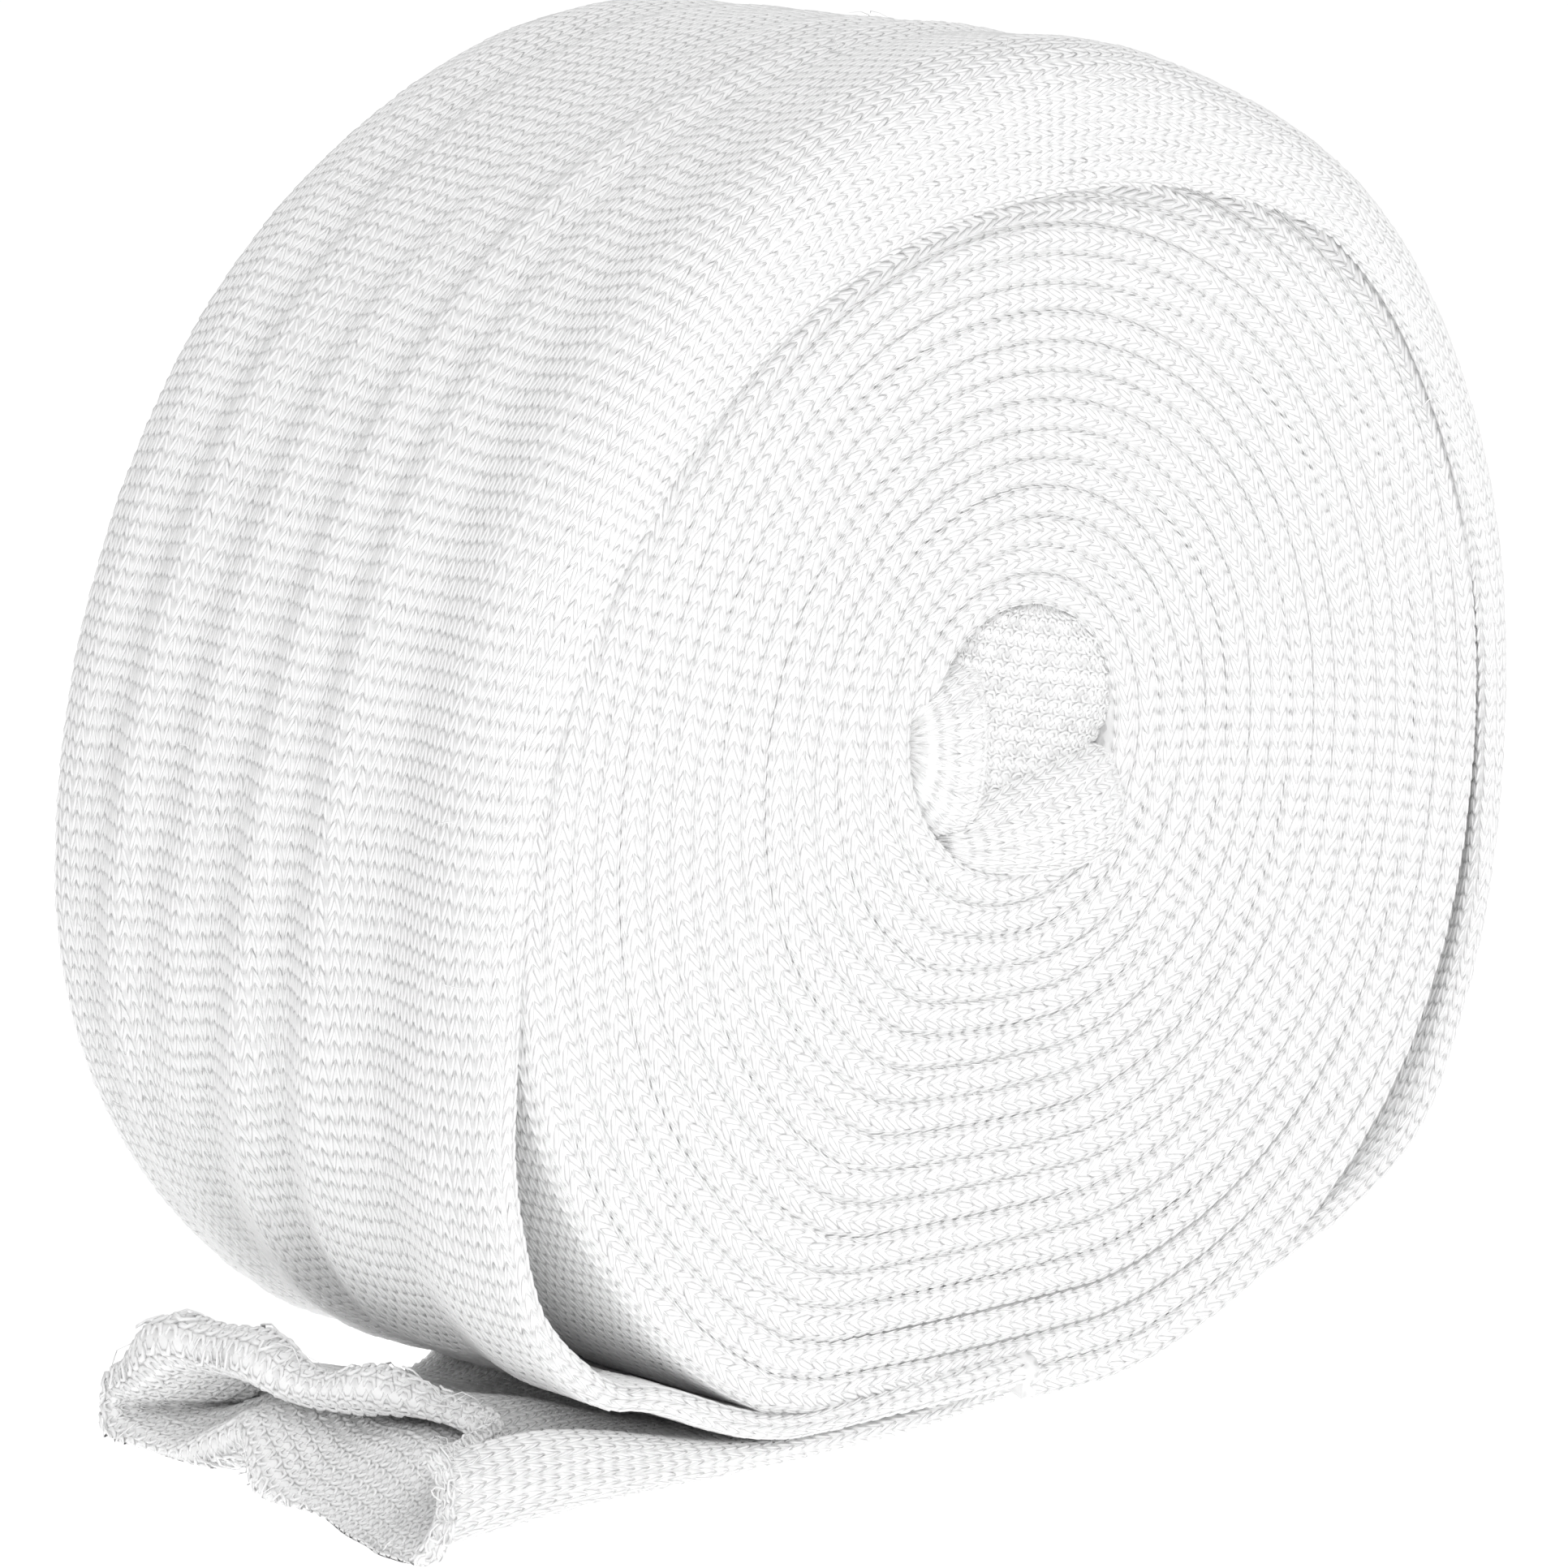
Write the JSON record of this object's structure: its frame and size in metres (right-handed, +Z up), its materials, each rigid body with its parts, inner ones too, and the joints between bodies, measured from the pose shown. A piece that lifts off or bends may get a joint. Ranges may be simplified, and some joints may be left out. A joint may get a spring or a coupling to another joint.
{
  "type": "tubular bandage",
  "caption": "Knitted cotton tube for bandaging, pressed flat and wound into a roll that lies on its rim, with its open free end on the floor.",
  "frame": {"origin": "on the floor, straight below the roll's axis and midway between its two round faces", "axes": "+Z up; the roll's axis lies along Y, with the face that is seen first towards -Y; the free end lies on the floor towards -X"},
  "size_m": [0.1437, 0.0681, 0.1306],
  "materials": {
    "cotton_roll": "matt bleached cotton, plain weft knit",
    "cotton_outer": "matt bleached cotton, plain weft knit",
    "cotton_end": "matt bleached cotton, plain weft knit, purl side on the rolled cut edge",
    "cotton_core": "matt bleached cotton, plain weft knit"
  },
  "bodies": {
    "root": {"wound_turns": "cotton_roll", "outer_turn": "cotton_outer", "free_end": "cotton_end", "inner_end": "cotton_core"}
  },
  "joints": []
}
